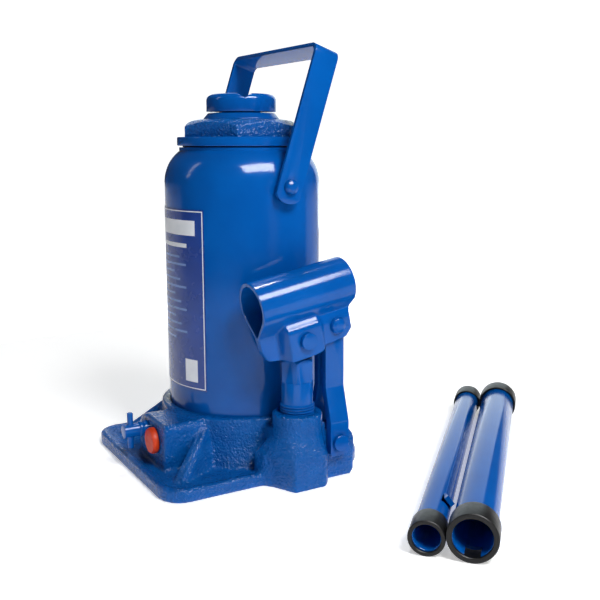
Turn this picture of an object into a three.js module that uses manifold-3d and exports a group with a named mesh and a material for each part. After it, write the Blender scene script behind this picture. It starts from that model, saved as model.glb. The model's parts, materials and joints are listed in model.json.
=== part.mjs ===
// Sixteen-tonne hydraulic bottle jack with its two-piece pump handle, in millimetres.
// +Z is up. The origin is on the underside of the base, on the ram's axis. The valve side, where the
// operator stands, faces -Y, and the pump stands on the +X side of the oil tank.
import * as THREE from "three";
import { ConvexGeometry } from "three/addons/geometries/ConvexGeometry.js";
import { mergeVertices } from "three/addons/utils/BufferGeometryUtils.js";
import Module from "manifold-3d";

const wasm = await Module();
wasm.setup();

// ---------------------------------------------------------------- driving dimensions
const GAP = 0.3; // between two pieces that touch
const FINE = 40; // sides of the large round pieces
const ROUND = 28;
const SMALL = 14;
const TINY = 8;

const JACK_HEIGHT = 230; // floor to the saddle's crown, ram down
const PLATE = { x: 66.5, front: -82, rear: 56, z: 8, frontCorner: 15, rearCorner: 26, rim: 5, dish: 1 };
const BARREL = { r: 55, top: 36.5 }; // round middle of the base casting
const TANK = { r: 48.8, wall: 2.5, bottom: 32.1, shoulder: 176, shoulderR: 25, top: 197.7 };
const TANK_FLOOR = 31; // top of the casting inside the tank
const SEAT_FLOOR = 24; // bottom of the pressure cylinder's seat
const CYLINDER = { bore: 22.5, r: 27.5, bottom: 25.7, top: 195.5 };
const NUT = { flangeR: 40.4, flangeZ: 198.5, hexZ: 204, hexR: 38.5, chamferZ: 209.3, crownZ: 214.8,
    top: 218.4 };
const RAM = { r: 19, bottom: 27, top: 218.6, boreR: 15.4, spigotR: 12 };
const THREAD = { pitch: 6, major: 14.6, minor: 12.4, sides: 18 };
const SADDLE = { r: 21.8, bottom: 219.2, crownR: 17.7, edge: 4, groove: 3.2, grooveAngle: -20 };

const PUMP_X = 69; // pump axis, at y = 0
const PUMP_BOSS = { r: 15, top: 44 };
const PUMP_BARREL = { threadR: 10.4, neckR: 9.4, hexFlats: 17.8, hexZ: 62, top: 76.8, bottom: 30.5 };
const PLUNGER_R = 6;
const PLUNGER_PIN_Z = 89; // pin through the plunger's eye, lever down
const LINK_FOOT = { y: 22.5, z: 24 }; // pin through the base lug
const LINK_HEAD = { y: 21.9, z: 95.3 }; // pin through the lever socket
const LINK = { width: 12.6, thick: 5, headIn: 1.5, footIn: 7.3, joggle: [12.6, 33] };
const LUG_HALF = 7;
const PIN_R = 4;

const SOCKET = { tilt: 10.3, front: -25.8, rear: 36.3, axis: 24.8, inner: 12.3, sheet: 2.3, foot: -12 };
const BAIL = { y: 4.5, z: 175, lean: 17.8, width: 16, thick: 2.5, inner: 51.8, height: 84.6, bend: 6,
    endR: 10 };

const VALVE = { x: 3, z: 26, crossPinY: -80.5, front: -85, threadR: 4.8 };
const SAFETY = { x: 17.6, z: 22.6 };
const BLOCK_FACE = -70; // front face of the valve block

const HANDLE_YAW = 133.76; // from +X to the tubes' direction, away from the operator
const BIG_TUBE = { r: 11.3, wall: 1.5, capR: 12.9, capBore: 10, near: [200.9, 20.9], length: 237 };
const SMALL_TUBE = { r: 8.2, wall: 1.4, capR: 9.5, capBore: 7.2, near: [183.9, 6.2], length: 244 };

// ---------------------------------------------------------------- materials
const material = (color, roughness, metalness) => new THREE.MeshStandardMaterial({ color, roughness,
    metalness });
const BLUE = material(0x0b56a6, 0.3, 0.2);
const CAST_BLUE = material(0x0e58a8, 0.42, 0.2);
const STEEL = material(0xa8abb0, 0.35, 0.9);
const SPRING_STEEL = material(0x6f7378, 0.4, 0.9);
const COPPER = material(0xb0683c, 0.4, 0.9);
const RUBBER = material(0x1b1b1d, 0.8, 0);
const ORANGE = material(0xd8531a, 0.5, 0);
const BLACK = material(0x202124, 0.55, 0);
const LABEL = material(0x2a4fa0, 0.4, 0);

// ---------------------------------------------------------------- solids
// A closed geometry as a manifold-3d solid, facing out whichever way its profile ran.
function solid(geometry) {
  const plain = new THREE.BufferGeometry().setAttribute("position",
      geometry.getAttribute("position").clone());
  if (geometry.index) plain.setIndex(geometry.index.clone());
  const merged = mergeVertices(plain, 1e-4);
  const kept = [];
  const corners = merged.index.array;
  for (let i = 0; i < corners.length; i += 3) {
    const [a, b, c] = [corners[i], corners[i + 1], corners[i + 2]];
    if (a !== b && b !== c && c !== a) kept.push(a, b, c);
  }
  const vertProperties = merged.attributes.position.array;
  const build = (triVerts) => new wasm.Manifold(new wasm.Mesh({ numProp: 3, vertProperties, triVerts }));
  const made = build(new Uint32Array(kept));
  if (made.volume() > 0) return made;
  for (let i = 0; i < kept.length; i += 3) [kept[i], kept[i + 1]] = [kept[i + 1], kept[i]];
  return build(new Uint32Array(kept));
}

function geometryOf(body) {
  const { numVert, numProp, vertProperties, triVerts } = body.getMesh();
  const points = new Float32Array(numVert * 3);
  for (let i = 0; i < numVert; i++) points.set(vertProperties.subarray(i * numProp, i * numProp + 3),
      i * 3);
  const geometry = new THREE.BufferGeometry().setAttribute("position",
      new THREE.BufferAttribute(points, 3));
  geometry.setIndex(new THREE.BufferAttribute(new Uint32Array(triVerts), 1));
  geometry.computeVertexNormals();
  return geometry;
}

const join = (...bodies) => bodies.reduce((a, b) => a.add(b));
const cut = (body, ...tools) => tools.reduce((a, b) => a.subtract(b), body);

const point2 = ([x, y]) => new THREE.Vector2(x, y);
const degrees = THREE.MathUtils.degToRad;

// Points of an arc about (cx, cy), angles in degrees.
function arc(cx, cy, r, from, to, steps) {
  return Array.from({ length: steps + 1 }, (_, i) => {
    const a = degrees(from + ((to - from) * i) / steps);
    return [cx + r * Math.cos(a), cy + r * Math.sin(a)];
  });
}

// A profile of [radius, z] turned about Z. One whose ends are off the axis closes on itself.
function turned(profile, sides = ROUND) {
  const points = profile.map(point2);
  if (profile[0][0] > 0) points.push(points[0].clone());
  return solid(new THREE.LatheGeometry(points, sides).rotateX(Math.PI / 2));
}

const rod = (r, z0, z1, sides = ROUND) => turned([[0, z0], [r, z0], [r, z1], [0, z1]], sides);
const ring = (rIn, rOut, z0, z1, sides = ROUND) => turned([[rIn, z0], [rOut, z0], [rOut, z1],
    [rIn, z1]], sides);

// An outline extruded along Z, X or Y. Outlines for X hold [y, z] and outlines for Y hold [x, z].
function extruded(outline, depth) {
  return new THREE.ExtrudeGeometry(new THREE.Shape(outline.map(point2)), { depth, bevelEnabled: false });
}
const prismZ = (outline, z0, z1) => solid(extruded(outline, z1 - z0).translate(0, 0, z0));
const alongX = new THREE.Matrix4().makeBasis(
  new THREE.Vector3(0, 1, 0),
  new THREE.Vector3(0, 0, 1),
  new THREE.Vector3(1, 0, 0),
);
const prismX = (outline, x0, x1) => solid(extruded(outline, x1 - x0).applyMatrix4(alongX).translate(x0,
    0, 0));
const prismY = (outline, y0, y1) => solid(extruded(outline, y1 - y0).rotateX(Math.PI / 2).translate(0,
    y1, 0));
const rectangle = (x0, x1, y0, y1) => [[x0, y0], [x1, y0], [x1, y1], [x0, y1]];
const box = (x0, x1, y0, y1, z0, z1) => prismZ(rectangle(x0, x1, y0, y1), z0, z1);

// A straight round hole or pin from one point to another.
function bar(from, to, r, sides = TINY) {
  const [a, b] = [new THREE.Vector3(...from), new THREE.Vector3(...to)];
  const along = b.clone().sub(a);
  const turn = new THREE.Quaternion().setFromUnitVectors(new THREE.Vector3(0, 1, 0),
      along.clone().normalize());
  const middle = a.add(b).multiplyScalar(0.5);
  const geometry = new THREE.CylinderGeometry(r, r, along.length(), sides).applyQuaternion(turn);
  return solid(geometry.translate(middle.x, middle.y, middle.z));
}
const barX = (x0, x1, y, z, r, sides = SMALL) => bar([x0, y, z], [x1, y, z], r, sides);
const barY = (x, y0, y1, z, r, sides = SMALL) => bar([x, y0, z], [x, y1, z], r, sides);
const ball = (x, y, z, r) => solid(new THREE.IcosahedronGeometry(r, 1).translate(x, y, z));
const moved = (body, x, y, z) => body.translate([x, y, z]);

// A hexagonal bar with flats square to X.
function hexagon(cornerR, z0, z1) {
  return prismZ(arc(0, 0, cornerR, 30, 330, 5), z0, z1);
}

// A trapezoidal screw thread about Z, cut square at both ends. grow widens it to make the matching nut cut.
function threaded({ pitch, major, minor, sides }, z0, z1, grow = 0) {
  const flank = [[minor, 0, 1], [minor, 0.28, -1], [major, 0.46, -1], [major, 0.82, 1]].map(
    ([r, share, side]) => [r + grow, share * pitch + side * 0.6 * grow],
  );
  const turns = Math.ceil((z1 - z0) / pitch) + 3;
  const rows = [];
  for (let t = 0; t < turns; t++) flank.forEach(([r, z]) => rows.push([r, z + (t - 1.5) * pitch + z0]));
  const points = [];
  for (let s = 0; s <= sides; s++) {
    const a = (2 * Math.PI * s) / sides;
    rows.forEach(([r, z]) => points.push(r * Math.cos(a), r * Math.sin(a), z + (pitch * s) / sides));
  }
  const low = points.length / 3;
  points.push(0, 0, rows[0][1] + pitch / 2, 0, 0, rows[rows.length - 1][1] + pitch / 2);
  const n = rows.length;
  const faces = [];
  for (let s = 0; s < sides; s++) {
    for (let k = 0; k < n - 1; k++) {
      const [a, b, c, d] = [s * n + k, (s + 1) * n + k, (s + 1) * n + k + 1, s * n + k + 1];
      faces.push(a, b, c, a, c, d);
    }
    faces.push(low, (s + 1) * n, s * n, low + 1, s * n + n - 1, (s + 1) * n + n - 1);
  }
  // The ramps where the first and last turns start are closed by the seam's own steps.
  for (let k = 0; k < flank.length; k++) faces.push(low, k, k + 1);
  for (let k = n - flank.length - 1; k < n - 1; k++) faces.push(low + 1, sides * n + k + 1, sides * n + k);
  const geometry = new THREE.BufferGeometry().setAttribute("position",
      new THREE.Float32BufferAttribute(points, 3));
  geometry.setIndex(faces);
  return solid(geometry).intersect(rod(major + grow + 1, z0, z1, sides));
}

// A closed skin through outlines that all have the same number of points, with flat ends.
function lofted(sections) {
  const n = sections[0].length;
  const points = sections.flat();
  const faces = [];
  for (let s = 0; s < sections.length - 1; s++) {
    for (let k = 0; k < n; k++) {
      const [a, b] = [s * n + k, s * n + ((k + 1) % n)];
      faces.push(a, b, b + n, a, b + n, a + n);
    }
  }
  const flat = sections[0].map(([x, , z]) => new THREE.Vector2(x, z));
  const ends = THREE.ShapeUtils.triangulateShape(flat, []);
  const last = (sections.length - 1) * n;
  ends.forEach(([a, b, c]) => faces.push(a, c, b));
  const lastFlat = sections[sections.length - 1].map(([x, , z]) => new THREE.Vector2(x, z));
  THREE.ShapeUtils.triangulateShape(lastFlat, []).forEach(([a, b, c]) => faces.push(last + a, last + b,
      last + c));
  const geometry = new THREE.BufferGeometry();
  geometry.setAttribute("position", new THREE.Float32BufferAttribute(points.flat(), 3));
  geometry.setIndex(faces);
  return solid(geometry);
}

// A coil spring about Z, of round wire.
class Helix extends THREE.Curve {
  constructor(r, turns, z0, z1) {
    super();
    Object.assign(this, { r, turns, z0, z1 });
  }
  getPoint(t, target = new THREE.Vector3()) {
    const a = 2 * Math.PI * this.turns * t;
    return target.set(this.r * Math.cos(a), this.r * Math.sin(a), this.z0 + (this.z1 - this.z0) * t);
  }
}
function spring(r, wireR, turns, z0, z1) {
  const wire = new THREE.Shape(arc(0, 0, wireR, 0, 300, 5).map(point2));
  const path = new Helix(r, turns, z0 + wireR, z1 - wireR);
  return solid(new THREE.ExtrudeGeometry(wire, { steps: turns * 10, extrudePath: path,
      bevelEnabled: false }));
}

// ---------------------------------------------------------------- the scene graph
const jack = new THREE.Group();

function add(name, body, paint, parent = jack) {
  const mesh = new THREE.Mesh(geometryOf(body), paint);
  mesh.name = name;
  parent.add(mesh);
  return mesh;
}

function place(x, y, z, tiltDegrees = 0, yawDegrees = 0) {
  const group = new THREE.Group();
  group.position.set(x, y, z);
  group.rotation.set(degrees(tiltDegrees), 0, degrees(yawDegrees), "ZYX");
  jack.add(group);
  return group;
}

// ---------------------------------------------------------------- base casting
function plateOutline(inset) {
  const { x, front, rear, frontCorner, rearCorner } = PLATE;
  const corner = (cx, cy, r, from) => arc(cx, cy, r - inset, from, from + 90, 6);
  return [
    ...corner(x - frontCorner, front + frontCorner, frontCorner, -90),
    ...corner(x - rearCorner, rear - rearCorner, rearCorner, 0),
    ...corner(rearCorner - x, rear - rearCorner, rearCorner, 90),
    ...corner(frontCorner - x, front + frontCorner, frontCorner, 180),
  ];
}

// A gusset that runs out from the round middle at an angle and slopes down to the plate.
function gusset(angle, footR) {
  const a = degrees(angle);
  const at = (r, side, z) =>
    new THREE.Vector3(r * Math.cos(a) - side * Math.sin(a), r * Math.sin(a) + side * Math.cos(a), z);
  const corners = [at(51, -9, 2), at(51, 9, 2), at(52, -2.6, 33.5), at(52, 2.6, 33.5)];
  corners.push(at(footR, -5, 2), at(footR, 5, 2), at(footR - 3, -2.6, 9.5), at(footR - 3, 2.6, 9.5));
  return solid(new ConvexGeometry(corners));
}

function baseCasting() {
  const plate = cut(
    prismZ(plateOutline(0), 0, PLATE.z),
    prismZ(plateOutline(PLATE.rim), PLATE.z - PLATE.dish, PLATE.z + 1),
  );
  const barrel = turned([[0, 0], [BARREL.r, 0], [BARREL.r, BARREL.top - 1.5],
      [BARREL.r - 1.5, BARREL.top], [0, BARREL.top]], FINE);
  const pumpBoss = moved(rod(PUMP_BOSS.r, 0, PUMP_BOSS.top), PUMP_X, 0, 0);
  const pumpWeb = box(40, PUMP_X, -PUMP_BOSS.r, PUMP_BOSS.r, 0, 34);
  const pumpFoot = prismZ([[58, -24], [66.5, -21.5], [71, -17.8], [85.5, -11], [85.5, 10.7], [82, 14],
      [58, 14]], 0, 20);
  const lug = prismX(
    [[0, 0], [34.3, 0], [36.2, 3], ...arc(24.6, 20.5, 12, -15, 125, 8), [16, 31], [15.4, 36], [0, 36]],
    PUMP_X - LUG_HALF,
    PUMP_X + LUG_HALF,
  );
  const valveBlock = prismY(
    [[31.5, 0], [33.5, 33], [31.5, 35.3], [5, 34.8], ...arc(2.5, 21.3, 13.5, 90, 180, 5), [-11.5, 0]],
    BLOCK_FACE,
    -30,
  );
  const gussets = [gusset(-53.8, 87), gusset(-126.2, 87), gusset(142, 76), gusset(38, 68)];
  const blank = join(plate, barrel, pumpBoss, pumpWeb, pumpFoot, lug, valveBlock, ...gussets);

  const tankRecess = rod(TANK.r + 0.4, TANK_FLOOR, 40, FINE);
  const cylinderSeat = rod(CYLINDER.r + 0.4, SEAT_FLOOR, 32);
  const pumpBore = moved(join(rod(PLUNGER_R + 0.6, 14, 46, SMALL),
      rod(PUMP_BARREL.threadR + 0.4, 29, 46)), PUMP_X, 0, 0);
  const suctionChamber = moved(rod(4, 9, 15, SMALL), PUMP_X, 0, 0);
  const lugBore = barX(PUMP_X - 12, PUMP_X + 12, LINK_FOOT.y, LINK_FOOT.z, PIN_R + 0.4);
  const valveBore = join(
    barY(VALVE.x, BLOCK_FACE - 5, -50.5, VALVE.z, VALVE.threadR + 0.4),
    barY(VALVE.x, -51, -40, VALVE.z, 3.2),
  );
  const safetyBore = barY(SAFETY.x, BLOCK_FACE - 5, -45, SAFETY.z, 5);
  const dischargeBore = bar([46, 10, -1], [46, 10, 18], 5, SMALL);
  return cut(blank, tankRecess, cylinderSeat, pumpBore, suctionChamber, lugBore, valveBore, safetyBore,
      dischargeBore, ...oilways());
}

// Drilled oilways, each from one bore to the next.
function oilways() {
  const suction = [bar([37, 0, 33], [60, 0, 6], 2.2), bar([57, 0, 6.5], [PUMP_X, 0, 6.5], 2.2),
      bar([PUMP_X, 0, 5], [PUMP_X, 0, 10], 2.2)];
  const discharge = [bar([PUMP_X, 0, 17], [46, 10, 19], 1.8), bar([46, 10, 17], [46, 10, 20], 1.8),
      bar([17, 4, 25], [45, 10, 11], 1.8)];
  const release = [bar([3, -41, 26], [3, -30, 17], 1.7), bar([3, -15, 25], [3, -31, 16.5], 1.7),
      bar([3, -44.5, 26], [3, -44.5, 33], 1.8)];
  const safety = [bar([17.6, -46, 22.6], [14, -31, 16], 1.7), bar([10, -15, 25], [14.2, -31.5, 15.7], 1.7)];
  return [...suction, ...discharge, ...release, ...safety];
}

// ---------------------------------------------------------------- tank, cylinder and top nut
function tank() {
  const { r, wall, bottom, shoulder, shoulderR, top } = TANK;
  const centre = r - shoulderR;
  const sweep = 52;
  const outer = arc(centre, shoulder, shoulderR, 0, sweep, 6);
  const inner = arc(centre, shoulder, shoulderR - wall, sweep, 0, 6);
  const profile = [[r, bottom], ...outer, [NUT.flangeR - 1.2, top], [33.6, top], [33.6, top - 3],
      ...inner, [r - wall, bottom]];
  const fillerHole = barY(0, 40, 60, 160, 6.2);
  return cut(turned(profile, FINE), fillerHole);
}

function topNut() {
  const { flangeR, flangeZ, hexZ, hexR, chamferZ, crownZ, top } = NUT;
  const hex = hexagon(hexR, hexZ - 0.5, crownZ).intersect(
    turned([[0, hexZ - 1], [hexR + 1, hexZ - 1], [hexR + 1, chamferZ], [31, crownZ - 0.9],
        [25, crownZ], [0, crownZ]], FINE),
  );
  const round = turned(
    [[0, 184], [33, 184], [33, flangeZ], [flangeR - 0.8, flangeZ], [flangeR, flangeZ + 0.8],
        [flangeR, hexZ - 0.8],
      [flangeR - 0.8, hexZ], [23.8, hexZ], [23.8, crownZ + 0.4], [21.2, top], [0, top]],
    FINE,
  );
  const ramBore = rod(RAM.r + 0.3, 180, 220);
  const cylinderBore = rod(CYLINDER.r + GAP, 180, CYLINDER.top + GAP);
  const wiperGroove = rod(23, 205.5, 210.5);
  return cut(join(round, hex), ramBore, cylinderBore, wiperGroove);
}

// ---------------------------------------------------------------- ram and extension screw
const NUT_THREAD_BOTTOM = 198;
function ram() {
  const body = turned([[0, RAM.bottom], [RAM.spigotR, RAM.bottom], [RAM.spigotR, 46.4], [RAM.r, 46.4],
      [RAM.r, RAM.top - 0.8], [RAM.r - 0.8, RAM.top], [0, RAM.top]]);
  const bore = rod(RAM.boreR, 52, NUT_THREAD_BOTTOM);
  const thread = threaded(THREAD, 136 + 10 * THREAD.pitch, RAM.top + 1, 0.42);
  return cut(body, bore, thread);
}

function extensionScrew() {
  const { r, bottom, crownR, edge, groove, grooveAngle } = SADDLE;
  const stem = join(
    rod(THREAD.minor, 131, 137, THREAD.sides),
    rod(11, 127, 131.5, THREAD.sides),
    rod(THREAD.minor, 124, 127.5, THREAD.sides),
    threaded(THREAD, 136, 216),
    rod(THREAD.minor, 215, bottom + 1, THREAD.sides),
  );
  const low = JACK_HEIGHT - edge;
  const rim = [[r, low], [r - 0.6, low + 1.9], [r - 1.9, low + 3.3], [crownR, JACK_HEIGHT]];
  const head = turned([[0, bottom], [r - 0.6, bottom], [r, bottom + 0.6], ...rim, [0, JACK_HEIGHT]]);
  const vee = [[-2 * groove, 1], [0, -groove], [2 * groove, 1]];
  const grooves = [0, 90].map((turn) =>
    prismY(vee, -30, 30).translate([0, 0, JACK_HEIGHT]).rotate([0, 0, grooveAngle + 90 + turn]),
  );
  return cut(join(stem, head), ...grooves);
}

// ---------------------------------------------------------------- pump
function pumpBarrel() {
  const { threadR, neckR, hexFlats, hexZ, top, bottom } = PUMP_BARREL;
  const corner = hexFlats / Math.sqrt(3);
  const hex = hexagon(corner, hexZ, top).intersect(
    turned([[0, hexZ], [8.9, hexZ], [corner, hexZ + 1], [corner, top - 1], [8.9, top], [0, top]], ROUND),
  );
  const threads = [];
  for (let z = 41.4; z < 48; z += 1.9) {
    threads.push([neckR, z], [threadR, z + 0.5], [threadR, z + 1.1], [neckR, z + 1.6]);
  }
  const body = turned([[0, bottom], [threadR, bottom], [threadR, 41], ...threads, [neckR, hexZ + 0.5],
      [0, hexZ + 0.5]], 20);
  const bore = rod(PLUNGER_R + 0.25, 20, 80, 24);
  const sealGroove = rod(7.6, 66, 70.5, 24);
  return cut(join(body, hex), bore, sealGroove).translate([PUMP_X, 0, 0]);
}

// The eye is longer than the pin along Y, so that it takes up the link's small swing.
function plunger() {
  const shaft = join(rod(PLUNGER_R, 21.5, 80, 24), rod(4, 16.5, 22, 24));
  const eye = prismX(
    [...arc(0, PLUNGER_PIN_Z, 8, 0, 180, 8), [-6, 77], [6, 77]].map(([y, z]) => [y, z]),
    -5,
    5,
  );
  const slack = 1.9;
  const slot = join(
    barX(-8, 8, -slack, PLUNGER_PIN_Z, PIN_R + 0.5),
    barX(-8, 8, slack, PLUNGER_PIN_Z, PIN_R + 0.5),
    box(-8, 8, -slack, slack, PLUNGER_PIN_Z - PIN_R - 0.4, PLUNGER_PIN_Z + PIN_R + 0.4),
  );
  return cut(join(shaft, eye), slot).translate([PUMP_X, 0, 0]);
}

// A pin along X with a head at each end, half its grip length either way of x = 0.
function headedPin(r, grip, headR, headLong, dome = 0) {
  const end = grip + headLong;
  const profile = [[0, -end], [headR - 0.5, -end], [headR, -end + 0.5], [headR, -grip], [r, -grip],
      [r, grip], [headR, grip]];
  const crown = dome ? [[headR, grip + 0.6], [headR * 0.8, end - dome * 0.35],
      [headR * 0.4, end + dome * 0.2]] : [[headR, end - 0.5], [headR - 0.5, end]];
  return turned([...profile, ...crown, [0, end + dome * 0.35]], SMALL).rotate([0, 90, 0]);
}

// ---------------------------------------------------------------- lever socket, pressed from one sheet
// At a place along the socket: half the gap between the cheeks, half the gap at the neck, and the
// neck's height.
const CHEEKS = [
  [-25.8, 0.25, 0.25, 6.7],
  [-15.2, 0.25, 0.25, 6.7],
  [-11, 9.7, 6.8, 11.5],
  [10, 9.7, 6.8, 11.5],
  [13.5, 6.9, 5.8, 11],
  [36.3, 6.9, 5.8, 11],
];
function cheeksAt(u) {
  const next = Math.max(1, CHEEKS.findIndex(([at]) => at >= u));
  const [low, high] = [CHEEKS[next - 1], CHEEKS[next]];
  const share = (u - low[0]) / (high[0] - low[0]);
  return low.slice(1).map((value, i) => value + (high[i + 1] - value) * share);
}

// One side of the sheet: up a cheek, in to the neck, tangent onto the round, over and down the other cheek.
function sheetPath([gap, neck, neckZ], out) {
  const { axis, foot, inner } = SOCKET;
  const r = inner + out;
  const rise = axis - neckZ;
  const from = THREE.MathUtils.radToDeg(Math.atan2(neck + out,
      rise) + Math.acos(r / Math.hypot(neck + out, rise))) - 90;
  const side = [[gap + out, foot], [gap + out, neckZ - 3.5], [neck + out, neckZ]];
  return [...side, ...arc(0, axis, r, from, 180 - from, 16), ...side.map(([x, z]) => [-x, z]).reverse()];
}

function socketShell() {
  const sections = [-25.8, -15.2, -13.1, -11, 10, 13.5, 36.3].map((u) => {
    const cheeks = cheeksAt(u);
    return [...sheetPath(cheeks, SOCKET.sheet), ...sheetPath(cheeks, 0).reverse()].map(([x, z]) => [x,
        u, z]);
  });
  return lofted(sections);
}

function leverSocket(linkPin) {
  const { front, rear } = SOCKET;
  const wide = 30;
  const foot = [[front, 6.7], [-24.6, -4.3], [-20.2, -8.8], [-13.7, -9], [-10.2, -10.1], [9.4, -10.1],
      [12.4, -7.3]];
  const heel = [[27.8, -6.3], [32.3, -1.8], [32.3, 9.7], [rear, 12.7]];
  const sideView = prismX([[front, 50], ...foot, ...heel, [rear, 50]], -wide, wide);
  const holes = [[0, 0], linkPin].map(([u, v]) => barX(-wide, wide, u, v, PIN_R + 0.3));
  return cut(socketShell().intersect(sideView), ...holes);
}

// ---------------------------------------------------------------- link arms, local to the lug pin
function linkArm(side, length) {
  const { width, thick, headIn, footIn, joggle } = LINK;
  const inner = [[footIn, -12], [footIn, joggle[0]], [headIn, joggle[1]], [headIn, length + 12]];
  const outer = inner.map(([x, z]) => [x + thick, z]).reverse();
  const strip = prismY([...inner, ...outer].map(([x, z]) => [side * x, z]), -width / 2, width / 2);
  const ends = prismX([...arc(0, length, width / 2, 0, 180, 8), [-7, -6.2], [-5.2, -8], [5.2, -8],
      [7, -6.2]], -20, 20);
  return cut(strip.intersect(ends), barX(-20, 20, 0, 0, PIN_R + 0.3),
      barX(-20, 20, 0, length, PIN_R + 0.3));
}

// ---------------------------------------------------------------- carrying handle, local to its pivots
function bail() {
  const { width, thick, inner, height, bend, endR } = BAIL;
  const loop = (half, top, r) => [[half, -20], ...arc(half - r, top - r, r, 0, 90, 5),
      ...arc(r - half, top - r, r, 90, 180, 5), [-half, -20]];
  const outside = loop(inner + thick, height, bend);
  const inside = loop(inner, height - thick, bend - thick);
  const strap = prismY([...outside, ...inside.reverse()], -width / 2, width / 2);
  const end = Math.asin(width / 2 / endR);
  const profile = prismX(
    [[width / 2, 90], [-width / 2, 90], ...arc(0, 0, endR, 270 - THREE.MathUtils.radToDeg(end),
        270 + THREE.MathUtils.radToDeg(end), 6)],
    -70,
    70,
  );
  return cut(strap.intersect(profile), barX(-70, 70, 0, 0, 3.9));
}

// A stud welded to the tank: a shoulder that holds the strap off, a shank and a domed head.
function bailStud(side) {
  const { inner, thick } = BAIL;
  const strap = inner + thick;
  const profile = [[0, TANK.r - 0.1], [6, TANK.r - 0.1], [6, inner - GAP], [3.5, inner - GAP],
      [3.5, strap + GAP], [4.4, strap + GAP]];
  const dome = [[4.4, strap + 1.1], [3.6, strap + 2.4], [2, strap + 3.2], [0, strap + 3.5]];
  const body = turned([...profile, ...dome], SMALL).rotate([0, side * 90, 0]).translate([0, BAIL.y,
      BAIL.z]);
  return cut(body, rod(TANK.r + GAP, 150, 200, FINE));
}

// ---------------------------------------------------------------- handle tubes, local, along +X from
// the near end
function handleTube({ r, wall, length }) {
  return turned([[r - wall, 2], [r, 2], [r, length - 2], [r - wall, length - 2]], ROUND).rotate([0, 90, 0]);
}
function tubeCap({ r, wall, capR, capBore }) {
  const lip = 1.7;
  const profile = [[capBore, 0], [capR - 0.8, 0], [capR, 0.8], [capR, 15], [r + GAP, 15],
      [r + GAP, lip], [capBore, lip]];
  return turned(profile, 24).rotate([0, 90, 0]);
}

// ---------------------------------------------------------------- base and its fixed pieces
add("base_casting", baseCasting(), CAST_BLUE);
add("reservoir_seal", ring(46.2, TANK.r, 31.2, 31.9), RUBBER);
add("oil_reservoir", tank(), BLUE);
add("cylinder_gasket", ring(22.8, 27.2, 24.2, 25.4), COPPER);
add("pressure_cylinder", ring(CYLINDER.bore, CYLINDER.r, CYLINDER.bottom, CYLINDER.top), STEEL);
add("top_nut", topNut(), CAST_BLUE);
add("top_nut_seal", ring(34, 37, 197.8, 198.4), RUBBER);
add("ram_wiper_seal", turned([[19.35, 206], [22.6, 206], [22.6, 210], [20.6, 210], [19.35, 208.8]]),
    RUBBER);
add("pump_barrel", pumpBarrel(), BLUE);
add("pump_barrel_washer", moved(ring(7.2, 10, 29.2, 30.2, SMALL), PUMP_X, 0, 0), COPPER);
add("plunger_gland_seal", moved(ring(6.3, 7.3, 66.3, 70.2, 24), PUMP_X, 0, 0), RUBBER);
add("link_foot_pin", moved(headedPin(PIN_R, 12.6, 4.8, 2.2), PUMP_X, LINK_FOOT.y, LINK_FOOT.z), BLUE);
add("bail_stud_right", bailStud(1), BLUE);
add("bail_stud_left", bailStud(-1), BLUE);
add("suction_strainer", moved(turned([[1.5, 31.2], [4.5, 31.2], [4.5, 34], [0, 34], [0, 33.4],
    [1.5, 33.4]], SMALL), 37, 0, 0), COPPER);
add("discharge_valve_plug", cut(bar([46, 10, 0.4], [46, 10, 5], 4.6, SMALL),
    box(40, 52, 9.2, 10.8, 0, 1.6)), STEEL);
add("discharge_valve_spring", moved(spring(2.9, 0.6, 3, 5.4, 11.2), 46, 10, 0), SPRING_STEEL);
add("safety_valve_screw", cut(barY(SAFETY.x, -65.5, -60, SAFETY.z, 4.6),
    box(SAFETY.x - 6, SAFETY.x + 6, -67, -64, SAFETY.z - 0.7, SAFETY.z + 0.7)), STEEL);
add("safety_valve_spring", spring(2.9, 0.6, 3, 0,
    7.5).rotate([-90, 0, 0]).translate([SAFETY.x, -59.6, SAFETY.z]), SPRING_STEEL);

function labelSheet() {
  const sheet = turned([[TANK.r + 0.1, 51], [TANK.r + 0.35, 51], [TANK.r + 0.35, 161.5],
      [TANK.r + 0.1, 161.5]], 2 * FINE);
  const half = 35.5;
  const wedge = prismZ([[0, 0], ...arc(0, 0, 80, -90 - half, -90 + half, 4)], 40, 170);
  return sheet.intersect(wedge);
}
add("rating_label", labelSheet(), LABEL);

// ---------------------------------------------------------------- ram
add("ram", ram(), STEEL);
add("piston_head", ring(RAM.spigotR + GAP, 22.2, 37.4, 46.1), STEEL);
add("piston_cup_seal", turned([[12.3, 31.4], [20.8, 31.4], [22.3, 32.6], [22.3, 37.1], [12.3, 37.1]]),
    RUBBER);
add("piston_nut", cut(hexagon(18, 27.2, 31.1), rod(RAM.spigotR + GAP, 27, 32)), STEEL);

// ---------------------------------------------------------------- extension screw and its stop
add("screw_stop_ring", ring(11.35, 14.9, 128, 130.4, 24), SPRING_STEEL);
add("extension_screw", extensionScrew(), BLUE);

// ---------------------------------------------------------------- pump plunger
add("pump_plunger", plunger(), STEEL);
add("plunger_cup_seal", moved(ring(4.25, 6, 17, 21.2, 24), PUMP_X, 0, 0), RUBBER);

// ---------------------------------------------------------------- link arms
const linkLean = THREE.MathUtils.radToDeg(Math.atan2(LINK_FOOT.y - LINK_HEAD.y, LINK_HEAD.z - LINK_FOOT.z));
const linkLength = Math.hypot(LINK_FOOT.y - LINK_HEAD.y, LINK_HEAD.z - LINK_FOOT.z);
const link = place(PUMP_X, LINK_FOOT.y, LINK_FOOT.z, linkLean);
add("link_arm_outer", linkArm(1, linkLength), BLUE, link);
add("link_arm_inner", linkArm(-1, linkLength), BLUE, link);

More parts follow.
